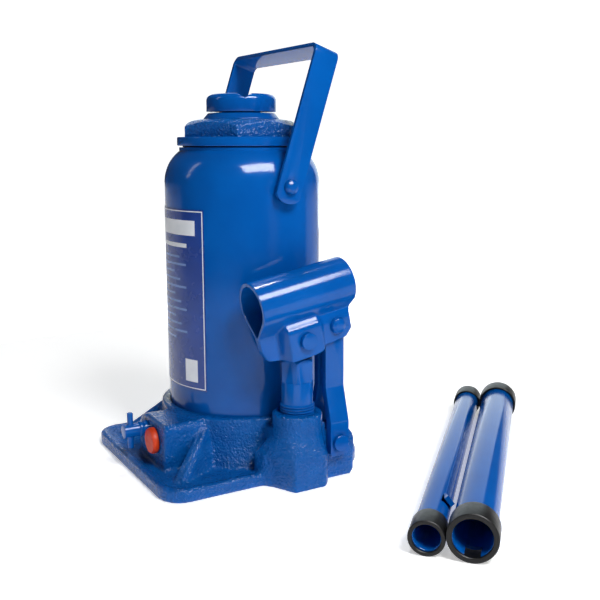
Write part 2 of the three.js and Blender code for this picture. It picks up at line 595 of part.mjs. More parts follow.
// ---------------------------------------------------------------- lever socket
const lever = place(PUMP_X, 0, PLUNGER_PIN_Z, SOCKET.tilt);
const tilt = degrees(SOCKET.tilt);
const rise = LINK_HEAD.z - PLUNGER_PIN_Z;
const linkPin = [
  LINK_HEAD.y * Math.cos(tilt) + rise * Math.sin(tilt),
  rise * Math.cos(tilt) - LINK_HEAD.y * Math.sin(tilt),
];
add("lever_socket", leverSocket(linkPin), BLUE, lever);
add("plunger_pin", headedPin(PIN_R, 12.4, 5, 2.6), BLUE, lever);
add("link_head_pin", moved(headedPin(PIN_R, 9.6, 4.8, 1.6, 1.4), 0, ...linkPin), BLUE, lever);

// ---------------------------------------------------------------- release valve
function releaseScrew() {
  const { x, z, front, threadR } = VALVE;
  const stem = turned(
    [[0, -front], [3.6, -front], [4.1, -front - 0.5], [4.1, 75.5], [threadR, 74.8], [threadR, 73.6],
        [4.1, 73.1],
      [4.1, 72.7], [threadR, 72.2], [threadR, 57.5], [3.5, 57.5], [3.5, 55], [threadR, 55], [threadR,
          52.5], [2.8, 51.4], [2.8, 46], [0, 46]],
    24,
  );
  return cut(stem.rotate([90, 0, 0]).translate([x, 0, z]),
      bar([x, VALVE.crossPinY, z - 9], [x, VALVE.crossPinY, z + 9], 2.1, SMALL));
}
add("release_valve_screw", releaseScrew(), BLUE);
add("release_valve_crossbar", bar([VALVE.x, VALVE.crossPinY, VALVE.z - 11],
    [VALVE.x, VALVE.crossPinY, VALVE.z + 11.4], 1.85, SMALL), BLUE);
add("release_valve_seal", ring(3.8, 4.8, 55.3, 57.2,
    24).rotate([90, 0, 0]).translate([VALVE.x, 0, VALVE.z]), RUBBER);
add("release_valve_ball", ball(VALVE.x, -43.2, VALVE.z, 2.5), STEEL);

// ---------------------------------------------------------------- check valves
add("suction_valve_ball", ball(PUMP_X, 0, 12.4, 3), STEEL);
add("discharge_valve_ball", ball(46, 10, 14.6, 3), STEEL);
add("safety_valve_ball", ball(SAFETY.x, -48.4, SAFETY.z, 3), STEEL);

// ---------------------------------------------------------------- plugs
function safetyCap() {
  const face = BLOCK_FACE - GAP;
  const profile = [[0, -face - 3.3], [4.2, -face - 3.3], [4.2, -face], [8, -face], [8, -face + 2.4],
      [7.4, -face + 3.6], [6.2, -face + 4], [0, -face + 3.8]];
  return turned(profile, 24).rotate([90, 0, 0]).translate([SAFETY.x, 0, SAFETY.z]);
}
add("safety_valve_cap", safetyCap(), ORANGE);
const fillerProfile = [[0, 44], [5.2, 44], [5.2, TANK.r + 0.5], [8, TANK.r + 0.5], [8, TANK.r + 2],
    [7, TANK.r + 3.2], [0, TANK.r + 3.2]];
add("oil_filler_plug", turned(fillerProfile, 24).rotate([-90, 0, 0]).translate([0, 0, 160]), RUBBER);

// ---------------------------------------------------------------- carrying handle
add("carrying_handle", bail(), BLUE, place(0, BAIL.y, BAIL.z, -BAIL.lean));

// ---------------------------------------------------------------- pump handle: two tubes on the floor
const bigHandle = place(...BIG_TUBE.near, BIG_TUBE.capR, 0, HANDLE_YAW);
const valveKeySlot = box(-1, 12, -4, 4, -20, 0);
add("handle_tube_large", cut(handleTube(BIG_TUBE), valveKeySlot), BLUE, bigHandle);
add("large_tube_cap_near", tubeCap(BIG_TUBE), BLACK, bigHandle);
add("large_tube_cap_far", tubeCap(BIG_TUBE).mirror([1, 0, 0]).translate([BIG_TUBE.length, 0, 0]),
    BLACK, bigHandle);

const smallHandle = place(...SMALL_TUBE.near, SMALL_TUBE.capR, 0, HANDLE_YAW);
const stopTab = prismY([[32.5, 9], [41.5, 7], [41.5, 8], [33.5, 10.4]], -2.8, 2.8).rotate([50, 0, 0]);
const tabWindow = prismY(rectangle(31.1, 39.8, 5.2, 12), -3.4, 3.4).rotate([50, 0, 0]);
const stoppedTube = join(cut(handleTube(SMALL_TUBE), tabWindow), stopTab);
add("handle_tube_small", stoppedTube, BLUE, smallHandle);
add("small_tube_cap_near", tubeCap(SMALL_TUBE), BLACK, smallHandle);
add("small_tube_cap_far", tubeCap(SMALL_TUBE).mirror([1, 0, 0]).translate([SMALL_TUBE.length, 0, 0]),
    BLACK, smallHandle);

export default jack;
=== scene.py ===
# Hydraulic bottle jack with its two-piece pump handle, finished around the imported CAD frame.
# Shapes are given in millimetres and stored in metres, in the frame's own axes.
import json
import math

import bmesh
import bpy
from mathutils import Matrix, Vector


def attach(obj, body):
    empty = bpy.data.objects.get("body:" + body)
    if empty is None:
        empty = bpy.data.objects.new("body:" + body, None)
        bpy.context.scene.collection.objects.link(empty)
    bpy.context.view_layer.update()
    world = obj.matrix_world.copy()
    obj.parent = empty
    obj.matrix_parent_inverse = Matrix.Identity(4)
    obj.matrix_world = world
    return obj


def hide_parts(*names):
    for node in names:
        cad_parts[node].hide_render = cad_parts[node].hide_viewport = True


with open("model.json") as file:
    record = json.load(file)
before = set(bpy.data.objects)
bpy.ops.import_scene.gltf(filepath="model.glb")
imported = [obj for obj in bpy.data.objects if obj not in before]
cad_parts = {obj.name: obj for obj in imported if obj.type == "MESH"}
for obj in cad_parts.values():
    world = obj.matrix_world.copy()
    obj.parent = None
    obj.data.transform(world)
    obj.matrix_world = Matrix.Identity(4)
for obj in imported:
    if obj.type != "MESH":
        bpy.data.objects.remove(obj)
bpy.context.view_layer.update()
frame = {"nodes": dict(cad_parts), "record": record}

MM = 0.001
SMOOTH_ANGLE = math.radians(32)

# ---------------------------------------------------------------- mesh helpers
def mesh(points, faces):
    data = bpy.data.meshes.new("solid")
    data.from_pydata([[c * MM for c in p] for p in points], [], faces)
    bm = bmesh.new()
    bm.from_mesh(data)
    bmesh.ops.recalc_face_normals(bm, faces=bm.faces)
    bm.to_mesh(data)
    bm.free()
    obj = bpy.data.objects.new("solid", data)
    bpy.context.scene.collection.objects.link(obj)
    return obj


def arc(cx, cy, r, start, end, steps):
    angles = [math.radians(start + (end - start) * i / steps) for i in range(steps + 1)]
    return [(cx + r * math.cos(a), cy + r * math.sin(a)) for a in angles]


def eased(outline, radius, steps=4, closed=True):
    """The outline with its corners rounded."""
    done = []
    last = len(outline) - 1
    for i, corner in enumerate(outline):
        here = Vector(corner)
        before = Vector(outline[i - 1]) - here
        after = Vector(outline[(i + 1) % (last + 1)]) - here
        if (not closed and i in (0, last)) or before.angle(after) > math.radians(165):
            done.append(tuple(here))
            continue
        back = min(radius / math.tan(before.angle(after) / 2), before.length * 0.45, after.length * 0.45)
        a, b = here + before.normalized() * back, here + after.normalized() * back
        for s in range(steps + 1):
            t = s / steps
            done.append(tuple(a * (1 - t) ** 2 + here * 2 * t * (1 - t) + b * t**2))
    return done


def turned(profile, sides=96, ease=0.0):
    """[radius, height] turned about Z. One whose ends are off the axis closes on itself."""
    closed = profile[0][0] > 0
    if ease:
        profile = eased(profile, ease, 3, closed)
    turns = [math.tau * s / sides for s in range(sides)]
    points, rows = [], []
    for r, z in profile:
        if r < 1e-9:
            rows.append([len(points)] * sides)
            points.append((0, 0, z))
            continue
        rows.append(list(range(len(points), len(points) + sides)))
        points += [(r * math.cos(a), r * math.sin(a), z) for a in turns]
    faces = []
    for k in range(len(rows) if closed else len(rows) - 1):
        low, high = rows[k], rows[(k + 1) % len(rows)]
        for s in range(sides):
            t = (s + 1) % sides
            face = list(dict.fromkeys((low[s], low[t], high[t], high[s])))
            if len(face) > 2:
                faces.append(face)
    return mesh(points, faces)


def rod(r, z0, z1, sides=64):
    return turned([(0, z0), (r, z0), (r, z1), (0, z1)], sides)


def ring(r0, r1, z0, z1, ease=0.0, sides=96):
    return turned([(r0, z0), (r1, z0), (r1, z1), (r0, z1)], sides, ease)


ORDER = {"X": lambda a, b, c: (c, a, b), "Y": lambda a, b, c: (a, c, b), "Z": lambda a, b, c: (a, b, c)}


def prism(axis, outline, low, high):
    """An outline of the other two axes, in order, extruded from low to high."""
    n = len(outline)
    points = [ORDER[axis](a, b, c) for c in (low, high) for a, b in outline]
    sides = [(k, (k + 1) % n, (k + 1) % n + n, k + n) for k in range(n)]
    return mesh(points, [tuple(range(n)), tuple(range(2 * n - 1, n - 1, -1))] + sides)


def box(x0, x1, y0, y1, z0, z1):
    return prism("Z", [(x0, y0), (x1, y0), (x1, y1), (x0, y1)], z0, z1)


def hull(points):
    obj = mesh(points, [])
    bm = bmesh.new()
    bm.from_mesh(obj.data)
    bmesh.ops.convex_hull(bm, input=bm.verts)
    bmesh.ops.recalc_face_normals(bm, faces=bm.faces)
    bm.to_mesh(obj.data)
    bm.free()
    return obj


def place(obj, x=0, y=0, z=0, turn=(0, 0, 0)):
    """Turns about X, then Y, then Z in degrees, then moves."""
    spin = Matrix.Identity(4)
    for axis, angle in zip("XYZ", turn):
        spin = Matrix.Rotation(math.radians(angle), 4, axis) @ spin
    obj.data.transform(Matrix.Translation(Vector((x, y, z)) * MM) @ spin)
    return obj


def rod_x(r, x0, x1, y, z, sides=48):
    return place(rod(r, x0, x1, sides), 0, y, z, (0, 90, 0))


def rod_y(r, y0, y1, x, z, sides=48):
    return place(rod(r, -y1, -y0, sides), x, 0, z, (90, 0, 0))


def settled(obj):
    """Bakes the modifiers into the mesh."""
    graph = bpy.context.evaluated_depsgraph_get()
    data = bpy.data.meshes.new_from_object(obj.evaluated_get(graph))
    obj.modifiers.clear()
    obj.data = data
    return obj


def combine(body, tools, operation):
    for tool in tools:
        step = body.modifiers.new("step", "BOOLEAN")
        step.operation, step.solver, step.object = operation, "MANIFOLD", tool
        settled(body)
        bpy.data.objects.remove(tool)
    return body


def join(body, *tools):
    return combine(body, tools, "UNION")


def cut(body, *tools):
    return combine(body, tools, "DIFFERENCE")


def common(body, *tools):
    return combine(body, tools, "INTERSECT")


def bevelled(obj, width=0.5, segments=3):
    step = obj.modifiers.new("edge", "BEVEL")
    step.width, step.segments, step.limit_method = width * MM, segments, "ANGLE"
    step.angle_limit = math.radians(35)
    return settled(obj)


def softened(obj, voxel, passes, grain=0.0, grain_size=3.0):
    """One skin over the solid, with filleted corners and, for a casting, its uneven surface."""
    skin = obj.modifiers.new("skin", "REMESH")
    skin.mode, skin.voxel_size = "VOXEL", voxel * MM
    fillet = obj.modifiers.new("fillet", "SMOOTH")
    fillet.factor, fillet.iterations = 0.5, passes
    if grain:
        texture = bpy.data.textures.new("casting", "CLOUDS")
        texture.noise_scale, texture.noise_depth = grain_size * MM, 2
        move = obj.modifiers.new("casting", "DISPLACE")
        move.texture, move.strength, move.mid_level = texture, grain * MM, 0.5
    return settled(obj)


def piece(obj, name, body, look, nodes):
    """Names a finished solid, gives it its finish, hangs it on the body it rides on and hides the nodes it
    stands in for.
    """
    obj.name = obj.data.name = name
    obj.data.materials.clear()
    obj.data.materials.append(look)
    obj.data.shade_smooth()
    obj.data.set_sharp_from_angle(angle=SMOOTH_ANGLE)
    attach(obj, body)
    if nodes:
        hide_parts(*nodes)
    return obj


# ---------------------------------------------------------------- materials
def linear(*rgb):
    """An sRGB colour from 0 to 255 as linear light, with full alpha."""
    shares = [c / 255 for c in rgb]
    return tuple(s / 12.92 if s < 0.04045 else ((s + 0.055) / 1.055) ** 2.4 for s in shares) + (1.0,)


def finish(name, colour, other, rough, patch=60, bumps=(), metal=0.0, specular=0.5):
    """A finish whose colour drifts between two tones, and whose roughness and relief come from noise.
    rough is its lowest and highest roughness; bumps holds (noise scale, height in mm) pairs."""
    look = bpy.data.materials.new(name)
    look.use_nodes = True
    nodes, links = look.node_tree.nodes, look.node_tree.links
    shader = nodes["Principled BSDF"]
    shader.inputs["Metallic"].default_value = metal
    shader.inputs["Specular IOR Level"].default_value = specular
    place_at = nodes.new("ShaderNodeTexCoord")

    def noise(scale, detail=3.0):
        node = nodes.new("ShaderNodeTexNoise")
        node.inputs["Scale"].default_value = scale
        node.inputs["Detail"].default_value = detail
        links.new(place_at.outputs["Object"], node.inputs["Vector"])
        return node.outputs["Fac"]

    tones = nodes.new("ShaderNodeValToRGB")
    first, second = tones.color_ramp.elements
    first.position, second.position = 0.35, 0.65
    first.color, second.color = linear(*colour), linear(*other)
    links.new(noise(patch), tones.inputs["Fac"])
    links.new(tones.outputs["Color"], shader.inputs["Base Color"])
    shine = nodes.new("ShaderNodeMapRange")
    shine.inputs["From Min"].default_value, shine.inputs["From Max"].default_value = 0.3, 0.7
    shine.inputs["To Min"].default_value, shine.inputs["To Max"].default_value = rough
    links.new(noise(patch * 3), shine.inputs["Value"])
    links.new(shine.outputs["Result"], shader.inputs["Roughness"])
    normal = None
    for scale, height in bumps:
        bump = nodes.new("ShaderNodeBump")
        bump.inputs["Distance"].default_value = height * MM
        links.new(noise(scale, 2.0), bump.inputs["Height"])
        if normal:
            links.new(normal, bump.inputs["Normal"])
        normal = bump.outputs["Normal"]
    if normal:
        links.new(normal, shader.inputs["Normal"])
    return look


def glowing(look, strength):
    """Makes a finish give off white light."""
    shader = look.node_tree.nodes["Principled BSDF"]
    shader.inputs["Emission Color"].default_value = (1, 1, 1, 1)
    shader.inputs["Emission Strength"].default_value = strength
    return look


PAINT = finish("enamel", (2, 88, 172), (1, 82, 164), (0.1, 0.17), 40, [(700, 0.02)], specular=0.25)
PEBBLES = [(680, 1.3), (300, 0.25)]
CAST = finish("cast_enamel", (2, 88, 168), (1, 80, 156), (0.06, 0.12), 90, PEBBLES, specular=0.22)
STEEL = finish("ground_steel", (186, 188, 192), (172, 174, 180), (0.16, 0.24), 60, [(1800, 0.008)], metal=1.0)
DARK_STEEL = finish("oiled_steel", (98, 100, 106), (80, 82, 88), (0.28, 0.42), 150, [(1200, 0.02)], metal=1.0)
COPPER = finish("copper", (196, 120, 78), (170, 98, 62), (0.25, 0.4), 150, [(1200, 0.02)], metal=1.0)
RUBBER = finish("rubber", (26, 26, 28), (36, 36, 38), (0.55, 0.75), 200, [(1500, 0.03)])
ORANGE = finish("orange_plastic", (222, 66, 16), (208, 58, 12), (0.36, 0.5), 150, [(900, 0.05)], specular=0.3)
BLACK = finish("black_plastic", (9, 9, 10), (15, 15, 17), (0.34, 0.46), 120, [(1300, 0.03)], specular=0.3)
FILM = finish("label_film", (30, 66, 148), (26, 60, 140), (0.2, 0.3), 40, [(500, 0.01)])
PRINT = finish("label_print", (236, 240, 246), (226, 230, 238), (0.3, 0.4), 80, [(900, 0.01)])
PALE_PRINT = finish("label_print_blue", (120, 152, 208), (110, 142, 200), (0.3, 0.4), 80, [(900, 0.01)])

LOOKS = {
    "blue_paint": PAINT,
    "cast_blue_paint": CAST,
    "steel": STEEL,
    "spring_steel": DARK_STEEL,
    "copper": COPPER,
    "rubber": RUBBER,
    "orange_plastic": ORANGE,
    "black_plastic": BLACK,
    "label_film": FILM,
}
for entry in frame["record"]["subparts"]:
    data = frame["nodes"][entry["node"]].data
    data.materials.clear()
    data.materials.append(LOOKS[entry["material_slot"]])
    data.shade_smooth()
    data.set_sharp_from_angle(angle=SMOOTH_ANGLE)

# ---------------------------------------------------------------- places that several pieces share
TANK_R, TANK_WALL, TANK_TOP = 48.8, 2.5, 197.7
SHOULDER_Z, SHOULDER_R = 176, 25
RAM_R, SCREW_ROOT, SCREW_CREST, SCREW_PITCH = 19, 12.4, 14.6, 6.0
SADDLE_R, SADDLE_EDGE, JACK_HEIGHT = 21.8, 4, 230
PUMP_X, PLUNGER_R, PLUNGER_PIN_Z = 69, 6, 89
FOOT_PIN, FULCRUM = (22.5, 24), (21.9, 95.3)
PIN_HOLE_R = 4.3
VALVE_X, VALVE_Z, CROSS_PIN_Y = 3, 26, -80.5
SAFETY_X, SAFETY_Z = 17.6, 22.6
FILLER_Z = 160


# ---------------------------------------------------------------- base casting
def plate_outline(inset):
    """The plate seen from above, drawn in by inset."""
    # each corner's x, y and radius, the way to the centre of its arc, and the angle its arc starts at
    corners = [
        (66.5, -82, 15, -1, 1, -90), (66.5, 56, 26, -1, -1, 0),
        (-66.5, 56, 26, 1, -1, 90), (-66.5, -82, 15, 1, 1, 180),
    ]
    outline = []
    for x, y, r, right, up, start in corners:
        outline += arc(x + right * r, y + up * r, r - inset, start, start + 90, 12)
    return outline


def gusset(angle, foot):
    """A tapered rib from the collar down to the plate, where it ends at radius foot."""
    a = math.radians(angle)

    def at(r, side, z):
        return (r * math.cos(a) - side * math.sin(a), r * math.sin(a) + side * math.cos(a), z)

    low = [at(r, side, 2) for r, half in ((51, 9), (foot, 5)) for side in (-half, half)]
    high = [at(r, side, z) for r, z in ((52, 33.5), (foot - 3, 9.5)) for side in (-2.6, 2.6)]
    return hull(low + high)


def pump_foot():
    """The block under the pump, and the slope from it up to the pump's boss."""
    outline = [(58, -24), (66.5, -21.5), (71, -17.8), (85.5, -11), (85.5, 10.7), (82, 14), (58, 14)]
    boss = [(PUMP_X + x, y, 31) for x, y in arc(0, 0, 14.8, 0, 345, 23)]
    return [prism("Z", outline, 0, 20), hull([(x, y, 17.5) for x, y in outline] + boss)]


def base_casting():
    collar = [(0, 0), (57.5, 0), (57.2, 9), (55.6, 14), (54.6, 22), (54.2, 36.5), (0, 36.5)]
    lug = [(0, 0), (34.3, 0), (36.2, 3), *arc(24.6, 20.5, 12, -15, 125, 16), (16, 31), (15.4, 36), (0, 36)]
    valve_side = [(31.5, 0), (33.5, 33), (31.5, 35.3), (5, 34.8)]
    valve_block = [*valve_side, *arc(2.5, 21.3, 13.5, 90, 180, 10), (-11.5, 0)]
    solids = [
        turned(collar, 128),
        place(rod(15, 0, 44), PUMP_X),
        box(40, PUMP_X, -15, 15, 0, 34),
        *pump_foot(),
        prism("X", lug, PUMP_X - 7, PUMP_X + 7),
        prism("Y", valve_block, -70, -30),
    ]
    solids += [gusset(angle, foot) for angle, foot in ((-53.8, 87), (-126.2, 87), (142, 76), (38, 68))]
    plate = cut(prism("Z", plate_outline(0), 0, 8), prism("Z", plate_outline(4.5), 6.6, 9))
    casting = softened(join(plate, *solids), 0.9, 9, 0.22, 2.2)
    tank_seat, cylinder_seat = rod(TANK_R + 0.35, 31, 60, 128), rod(27.9, 24, 32)
    pump_bores = [place(rod(10.8, 29, 60), PUMP_X), place(rod(6.6, 14, 30), PUMP_X)]
    valve_bores = [rod_y(5.2, -80, -50.5, VALVE_X, VALVE_Z), rod_y(3.3, -52, -42, VALVE_X, VALVE_Z)]
    return cut(
        casting,
        box(-100, 100, -100, 100, -5, 0.02),
        tank_seat,
        cylinder_seat,
        *pump_bores,
        rod_x(4.4, 50, 90, *FOOT_PIN),
        *valve_bores,
        rod_y(5, -80, -45, SAFETY_X, SAFETY_Z),
    )


piece(base_casting(), "base_body", "base", CAST, ["base_casting"])


# ---------------------------------------------------------------- tank and top nut
def tank():
    centre, mouth = TANK_R - SHOULDER_R, 33.6
    inner_r = SHOULDER_R - TANK_WALL
    shoulder = arc(centre, SHOULDER_Z, SHOULDER_R, 4, 52, 14)
    outside = [(TANK_R, 32.1), (TANK_R, 36.9), (TANK_R, SHOULDER_Z), *shoulder]
    rim = [(39.2, TANK_TOP), (mouth, TANK_TOP), (mouth, 194)]
    inside = [*arc(centre, SHOULDER_Z, inner_r, 52, 0, 14), (TANK_R - TANK_WALL, 32.1)]
    return cut(turned(outside + rim + inside, 160), rod_y(6.2, 40, 60, 0, FILLER_Z))


def nut_crown():
    """The as-cast hexagon, with its corners turned down, as a ring round the nut's collar."""
    corner_r, top = 38.5, 215
    hexagon = prism("Z", arc(0, 0, corner_r, 30, 330, 5), 203, top)
    turned_down = turned([(0, 202), (40, 202), (40, 209.3), (31, 213.9), (25, 214.8), (0, 214.8)], 128)
    return cut(softened(common(hexagon, turned_down), 0.6, 2, 0.3, 1.8), rod(23.7, 190, 230, 96))


def nut_body():
    flange = [(0, 184), (33, 184), (33, 198.5), (40.4, 198.5), (40.4, 204)]
    collar = [(23.8, 204), (23.8, 215.2), (21.2, 218.4), (0, 218.4)]
    return cut(turned(flange + collar, 128, 0.7), rod(RAM_R + 0.3, 180, 230, 96), rod(27.8, 180, 195.8))


piece(tank(), "tank_shell", "base", PAINT, ["oil_reservoir"])
piece(nut_crown(), "top_nut_crown", "base", CAST, [])
piece(nut_body(), "top_nut_body", "base", PAINT, ["top_nut"])


# ---------------------------------------------------------------- ram, and the saddle on its extension screw
def screw_thread(z0, z1, sides=72):
    """A rod with one helical ridge, cut square at both ends."""
    rows, points, faces = [], [], []
    flank = [(SCREW_ROOT, 0.0), (SCREW_ROOT, 0.28), (SCREW_CREST, 0.46), (SCREW_CREST, 0.82)]
    for t in range(int((z1 - z0) / SCREW_PITCH) + 3):
        rows += [(r, z0 + (share + t - 1.5) * SCREW_PITCH) for r, share in flank]
    n = len(rows)
    for s in range(sides + 1):
        a = math.tau * s / sides
        points += [(r * math.cos(a), r * math.sin(a), z + SCREW_PITCH * s / sides) for r, z in rows]
    for s in range(sides):
        faces += [(s * n + k, (s + 1) * n + k, (s + 1) * n + k + 1, s * n + k + 1) for k in range(n - 1)]
    low = len(points)
    points += [(0, 0, rows[0][1]), (0, 0, rows[-1][1])]
    for s in range(sides):
        faces += [(low, (s + 1) * n, s * n), (low + 1, s * n + n - 1, (s + 1) * n + n - 1)]
    faces += [(low, k, k + 1) for k in range(4)]
    faces += [(low + 1, sides * n + k + 1, sides * n + k) for k in range(n - 5, n - 1)]
    obj = mesh(points, faces)
    bm = bmesh.new()
    bm.from_mesh(obj.data)
    bmesh.ops.remove_doubles(bm, verts=bm.verts, dist=1e-7)
    bmesh.ops.recalc_face_normals(bm, faces=bm.faces)
    bm.to_mesh(obj.data)
    bm.free()
    return common(obj, rod(SCREW_CREST + 1, z0, z1, 72))


def extension_screw():
    groove_r = 11
    tip = [(0, 124), (SCREW_ROOT, 124), (SCREW_ROOT, 127.7), (groove_r, 127.7), (groove_r, 131)]
    neck = [(SCREW_ROOT, 131), (SCREW_ROOT, 137), (0, 137)]
    crown = arc(SADDLE_R - SADDLE_EDGE, JACK_HEIGHT - SADDLE_EDGE, SADDLE_EDGE, 0, 90, 10)
    saddle = [(0, 219.2), (SADDLE_R, 219.2), *crown, (0, JACK_HEIGHT)]
    screw = join(
        screw_thread(136, 216),
        turned(tip + neck, 72),
        rod(SCREW_ROOT, 215, 221, 72),
        turned(saddle, 96),
    )
    vee = eased([(-6.4, 1), (0, -3.2), (6.4, 1)], 1.2, 4, False)
    for turn in (-20, 70):
        cut(screw, place(prism("Y", [*vee, (0, 4)], -30, 30), 0, 0, JACK_HEIGHT, (0, 0, turn + 90)))
    return bevelled(screw, 0.3, 2)


def ram():
    outside = [(0, 27), (12, 27), (12, 46.4), (RAM_R, 46.4), (RAM_R, 217.8), (RAM_R - 0.8, 218.6), (0, 218.6)]
    return cut(turned(outside, 128), rod(15.4, 52, 196, 96), rod(15.05, 190, 230, 96))


piece(extension_screw(), "saddle_screw", "extension_screw", PAINT, ["extension_screw"])
piece(ram(), "ram_tube", "ram", STEEL, ["ram"])


# ---------------------------------------------------------------- pump
def pump_barrel():
    neck_r, crest_r, hex_z, top = 9.4, 10.4, 62, 76.8
    threads = []
    for i in range(5):
        z = 41.2 + 1.7 * i
        threads += [(9.5, z), (crest_r, z + 0.5), (crest_r, z + 1), (9.5, z + 1.5)]
    foot = [(0, 30.5), (crest_r, 30.5), (crest_r, 40.8)]
    barrel = turned([*foot, *eased(threads, 0.3, 2, False), (neck_r, 50), (neck_r, 63), (0, 63)], 64)
    hexagon = prism("Z", arc(0, 0, 10.28, 30, 330, 5), hex_z, top)
    edges = [(9.1, hex_z), (crest_r, 63.6), (crest_r, 74.6), (8.8, top)]
    join(barrel, common(hexagon, turned([(0, hex_z), *edges, (0, top)], 64)))
    cut(barrel, rod(PLUNGER_R + 0.25, 20, 80), rod(7.6, 66, 70.5))
    return place(bevelled(barrel, 0.25, 2), PUMP_X)


def plunger():
    """The rod, and the eye whose slot takes up the link's small swing."""
    slack, eye_r, slot_r = 1.9, 8, 4.5
    shaft = [(0, 16.5), (4, 16.5), (4, 21.5), (PLUNGER_R, 21.5), (PLUNGER_R, 80), (0, 80)]
    eye = prism("X", [*arc(0, PLUNGER_PIN_Z, eye_r, 0, 180, 24), (-6, 77), (6, 77)], -5, 5)
    front, rear = (arc(y, PLUNGER_PIN_Z, slot_r, a, a + 180, 16) for y, a in ((slack, -90), (-slack, 90)))
    rod_and_eye = cut(join(turned(shaft, 64, 0.4), eye), prism("X", front + rear, -8, 8))
    return place(bevelled(rod_and_eye, 0.3, 2), PUMP_X)


piece(pump_barrel(), "pump_body", "base", PAINT, ["pump_barrel"])
piece(plunger(), "plunger_rod", "plunger", STEEL, ["pump_plunger"])

# ---------------------------------------------------------------- lever socket, local to the plunger's pin
LEVER_TILT = math.radians(10.3)
ROUND_Z, BORE, SHEET = 24.8, 12.3, 2.3
FRONT_U, REAR_U, SECTIONS = -25.8, 36.3, 90
# place along the socket, half the gap between the cheeks, half the gap at the neck, the neck's height
CHEEKS = [
    (FRONT_U, 0.25, 0.25, 6.7),
    (-15.2, 0.25, 0.25, 6.7),
    (-10.6, 9.7, 6.4, 12),
    (9.8, 9.7, 6.4, 12),
    (13.7, 6.9, 5.6, 11),
    (REAR_U, 6.9, 5.6, 11),
]


def cheeks_at(u):
    for low, high in zip(CHEEKS, CHEEKS[1:]):
        if u <= high[0] + 1e-6:
            t = (u - low[0]) / (high[0] - low[0])
            t = t * t * (3 - 2 * t)
            return [a + (b - a) * t for a, b in zip(low[1:], high[1:])]


def sheet_path(cheeks, out):
    """One face of the folded sheet, out mm off its inside: up a cheek, round the bore and down again."""
    gap, neck, neck_z = cheeks
    neck, gap, r, rise = neck + out, gap + out, BORE + out, ROUND_Z - neck_z
    start = math.degrees(math.atan2(neck, rise) + math.acos(r / math.hypot(neck, rise))) - 90
    shares = [(0, -5.5), (0.2, -3.6), (0.7, -1.6), (1, 0)]
    bend = [(gap + (neck - gap) * share, neck_z + z) for share, z in shares]
    side = [(gap, -12), (gap, -6), (gap, 0), *bend]
    return [*side, *arc(0, ROUND_Z, r, start, 180 - start, 56), *[(-x, z) for x, z in reversed(side)]]


def folded_sheet():
    sections = []
    for k in range(SECTIONS + 1):
        u = FRONT_U + (REAR_U - FRONT_U) * k / SECTIONS
        cheeks = cheeks_at(u)
        sections.append([(x, u, z) for x, z in sheet_path(cheeks, SHEET) + sheet_path(cheeks, 0)[::-1]])
    n = len(sections[0])
    points = [p for section in sections for p in section]
    faces = [tuple(range(n)), tuple(range(len(points) - 1, len(points) - n - 1, -1))]
    for s in range(SECTIONS):
        low, high = s * n, (s + 1) * n
        faces += [(low + k, low + (k + 1) % n, high + (k + 1) % n, high + k) for k in range(n)]
    return mesh(points, faces)


def lever_socket():
    wing = [(-26, 50), (-26, 7), (-25, -2), (-22, -8.2), (-17, -9.3), (-10.5, -10)]
    clevis = [(0, -10.3), (8.4, -9.7), (12.6, -7.2), (27.6, -6.3)]
    rear = [(32.3, -1.8), (32.3, 8), (34, 12), (36.5, 16), (36.5, 50)]
    side_view = prism("X", eased(wing + clevis + rear, 3, 5), -30, 30)
    socket = softened(common(folded_sheet(), side_view), 0.45, 3)
    y, z = FULCRUM[0], FULCRUM[1] - PLUNGER_PIN_Z
    fulcrum_u = y * math.cos(LEVER_TILT) + z * math.sin(LEVER_TILT)
    fulcrum_v = z * math.cos(LEVER_TILT) - y * math.sin(LEVER_TILT)
    cut(socket, rod_x(PIN_HOLE_R, -30, 30, 0, 0), rod_x(PIN_HOLE_R, -30, 30, fulcrum_u, fulcrum_v))
    return place(socket, PUMP_X, 0, PLUNGER_PIN_Z, (math.degrees(LEVER_TILT), 0, 0))


def headed_pin(y, z, grip, head, dome):
    """A pin along X through the pump linkage: a head each side of its grip, flat or domed."""
    pin_r, head_r = 4, 4.9
    end = grip + head
    crown = [(head_r, grip + 0.6), (4.3, grip + head * 0.7), (2.6, end), (0, end + 0.3)]
    flat = [(head_r, end), (0, end)]
    right = [(pin_r, grip), (head_r, grip), *(crown if dome else flat)]
    left = [(r, -z) for r, z in reversed(right)]
    return place(turned(left + right, 48, 0.35), PUMP_X, y, z, (0, 90, 0))


piece(lever_socket(), "socket_sheet", "lever", PAINT, ["lever_socket"])
plunger_pin = headed_pin(0, PLUNGER_PIN_Z, 12.4, 2.6, False)
piece(plunger_pin, "plunger_pin_head", "lever", PAINT, ["plunger_pin"])
piece(headed_pin(*FULCRUM, 9.6, 2.8, True), "fulcrum_rivet", "lever", PAINT, ["link_head_pin"])
foot_rivet = headed_pin(*FOOT_PIN, 12.6, 2.2, False)
piece(foot_rivet, "link_foot_rivet", "base", PAINT, ["link_foot_pin"])

# ---------------------------------------------------------------- link arms, local to the lug's pin
LINK_HALF, LINK_THICK = 6.3, 5
LINK_Y, LINK_Z = FULCRUM[0] - FOOT_PIN[0], FULCRUM[1] - FOOT_PIN[1]
LINK_LENGTH, LINK_LEAN = math.hypot(LINK_Y, LINK_Z), math.degrees(math.atan2(-LINK_Y, LINK_Z))


